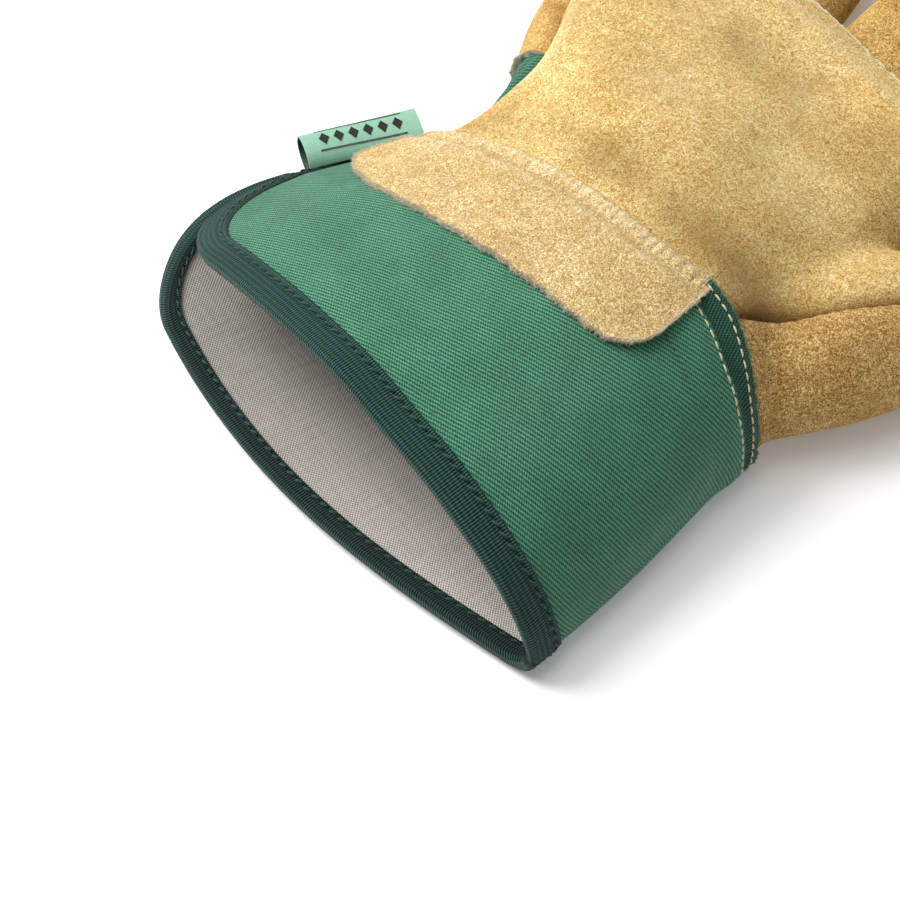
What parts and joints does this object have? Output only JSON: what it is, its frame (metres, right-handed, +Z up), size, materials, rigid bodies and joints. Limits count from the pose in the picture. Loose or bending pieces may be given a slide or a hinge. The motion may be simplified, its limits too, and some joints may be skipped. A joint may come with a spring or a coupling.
{
  "type": "gardening glove",
  "caption": "Right-hand leather gardening glove lying palm up, with a flared twill safety cuff, bound mouth, wrist patch, side label and digits that fold.",
  "frame": {"origin": "on the surface the glove lies on, under the middle of its bounding box", "axes": "+X from the cuff mouth towards the fingertips, +Z up out of the palm, -Y towards the thumb"},
  "size_m": [0.2476, 0.1868, 0.0427],
  "materials": {
    "palm_suede": "napped split leather, golden tan, matt",
    "patch_suede": "napped split leather, light golden tan, grey raw edge",
    "strap_suede": "napped split leather, golden tan, grey raw edge",
    "thumb_suede": "napped split leather, golden tan, matt",
    "finger_suede": "napped split leather, golden tan, matt",
    "cuff_twill": "mid green cotton twill",
    "back_twill": "mid green cotton twill, gathered",
    "strip_twill": "dark green twill strip",
    "binding_tape": "dark teal green ribbed tape",
    "lining_canvas": "grey beige plain canvas",
    "elastic": "flat woven elastic",
    "label_ribbon": "mint satin ribbon"
  },
  "bodies": {
    "hand": {"cuff_shell": "cuff_twill", "cuff_lining": "lining_canvas", "mouth_binding": "binding_tape", "pulse_patch": "patch_suede", "wrist_strip": "strip_twill", "palm_panel": "palm_suede", "palm_lining": "lining_canvas", "back_panel": "back_twill", "back_elastic": "elastic", "knuckle_strap": "strap_suede", "thumb_gusset": "thumb_suede", "side_label": "label_ribbon"},
    "thumb": {"thumb_front": "thumb_suede", "thumb_back": "thumb_suede"},
    "index_finger": {"index_front": "finger_suede", "index_back": "finger_suede"},
    "middle_finger": {"middle_front": "finger_suede", "middle_back": "finger_suede"},
    "ring_finger": {"ring_front": "finger_suede", "ring_back": "finger_suede"},
    "little_finger": {"little_front": "finger_suede", "little_back": "finger_suede"}
  },
  "joints": [
    {"name": "thumb_flex", "type": "hinge", "parent": "hand", "child": "thumb", "pos_m": [0.00895, -0.06279, 0.012], "axis": [-0.3269, -0.9451, 0], "range_deg": [0, 40]},
    {"name": "index_flex", "type": "hinge", "parent": "hand", "child": "index_finger", "pos_m": [0.04245, -0.02729, 0.009], "axis": [0.1564, -0.9877, 0], "range_deg": [0, 60]},
    {"name": "middle_flex", "type": "hinge", "parent": "hand", "child": "middle_finger", "pos_m": [0.04495, 0.00121, 0.009], "axis": [0.2924, -0.9563, 0], "range_deg": [0, 60]},
    {"name": "ring_flex", "type": "hinge", "parent": "hand", "child": "ring_finger", "pos_m": [0.04295, 0.02971, 0.009], "axis": [0.3987, -0.9171, 0], "range_deg": [0, 60]},
    {"name": "little_flex", "type": "hinge", "parent": "hand", "child": "little_finger", "pos_m": [0.03495, 0.05621, 0.0085], "axis": [0.5446, -0.8387, 0], "range_deg": [0, 60]}
  ]
}
